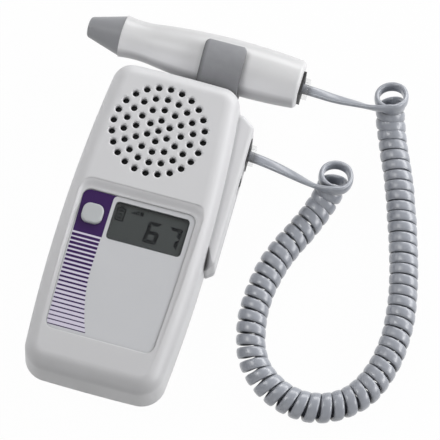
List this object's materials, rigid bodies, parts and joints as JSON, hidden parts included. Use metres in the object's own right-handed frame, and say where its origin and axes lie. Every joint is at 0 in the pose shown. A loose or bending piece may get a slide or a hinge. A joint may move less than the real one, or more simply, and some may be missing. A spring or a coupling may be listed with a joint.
{
  "type": "fetal doppler monitor",
  "caption": "Hand-held fetal doppler: barrel-sided unit with round speaker grille, tilted display panel and push button, pencil probe in an end clip, joined by a curly cord.",
  "frame": {"origin": "on the back face that the unit lies on, midway along the case", "axes": "+X to the side with the cord socket and volume wheel, +Y to the end with the probe clip, +Z out of the front face"},
  "size_m": [0.1733, 0.1716, 0.032],
  "materials": {
    "shell_white": "fine satin",
    "label_film": "satin film, printed from behind",
    "clear_window": "clear",
    "lcd_cell": "matt display glass",
    "black_plastic": "moulded",
    "button_grey": "satin",
    "zebra_rubber": "striped elastomer",
    "board_green": "glass-epoxy laminate",
    "chip_black": "moulded epoxy",
    "capacitor_can": "sleeved cans",
    "ribbon_grey": "flat cable",
    "jack_black": "moulded",
    "plug_clear": "clear polycarbonate",
    "wheel_dark": "knurled",
    "pot_metal": "plated",
    "cloth_black": "woven",
    "basket_black": "semi-gloss",
    "cone_paper": "pressed paper",
    "magnet_steel": "plated",
    "contact_nickel": "nickel plated",
    "screw_steel": "zinc plated",
    "cell_sleeve": "printed sleeve",
    "clip_grey": "fine texture",
    "probe_white": "satin",
    "nose_grey": "smooth",
    "crystal_ceramic": "silvered faces",
    "backing_dark": "cast",
    "cord_grey": "flexible jacket"
  },
  "bodies": {
    "unit": {"front_shell": "shell_white", "back_shell": "shell_white", "case_screws": "screw_steel", "label_overlay": "label_film", "lcd_window": "clear_window", "lcd_module": "lcd_cell", "lcd_frame": "black_plastic", "zebra_strips": "zebra_rubber", "power_switch": "black_plastic", "main_board": "board_green", "board_chips": "chip_black", "board_capacitors": "capacitor_can", "side_board": "board_green", "board_link": "ribbon_grey", "unit_jack": "jack_black", "unit_plug": "plug_clear", "volume_pot": "pot_metal", "speaker_cloth": "cloth_black", "speaker_basket": "basket_black", "speaker_cone": "cone_paper", "speaker_magnet": "magnet_steel", "battery_contacts": "contact_nickel", "probe_clip": "clip_grey", "clip_screws": "screw_steel", "cord_unit_lead": "cord_grey", "cord_coil": "cord_grey", "cord_probe_lead": "cord_grey", "battery_cell_1": "cell_sleeve", "battery_cell_2": "cell_sleeve", "battery_cell_3": "cell_sleeve"},
    "power_button": {"power_button": "button_grey", "switch_plunger": "chip_black"},
    "volume_wheel": {"volume_wheel": "wheel_dark"},
    "battery_door": {"battery_door": "shell_white"},
    "probe": {"probe_body": "probe_white", "probe_nose": "nose_grey", "crystal_transmit": "crystal_ceramic", "crystal_receive": "crystal_ceramic", "crystal_backing": "backing_dark", "probe_board": "board_green", "probe_chips": "chip_black", "probe_jack": "jack_black", "probe_plug": "plug_clear"}
  },
  "joints": [
    {"name": "power_button_press", "type": "slide", "parent": "unit", "child": "power_button", "axis": [0, -0.0229, -0.9997], "range_m": [0, 0.0008], "stiffness_N_per_m": 900},
    {"name": "volume_wheel_turn", "type": "hinge", "parent": "unit", "child": "volume_wheel", "pos_m": [0.02935, 0.0349, 0.0155], "axis": [0, 0, 1], "range_deg": [0, 270]},
    {"name": "battery_door_slide", "type": "slide", "parent": "unit", "child": "battery_door", "axis": [0, -1, 0], "range_m": [0, 0.06]},
    {"name": "probe_lift", "type": "slide", "parent": "unit", "child": "probe", "axis": [0, 1, 0], "range_m": [0, 0.035]}
  ]
}
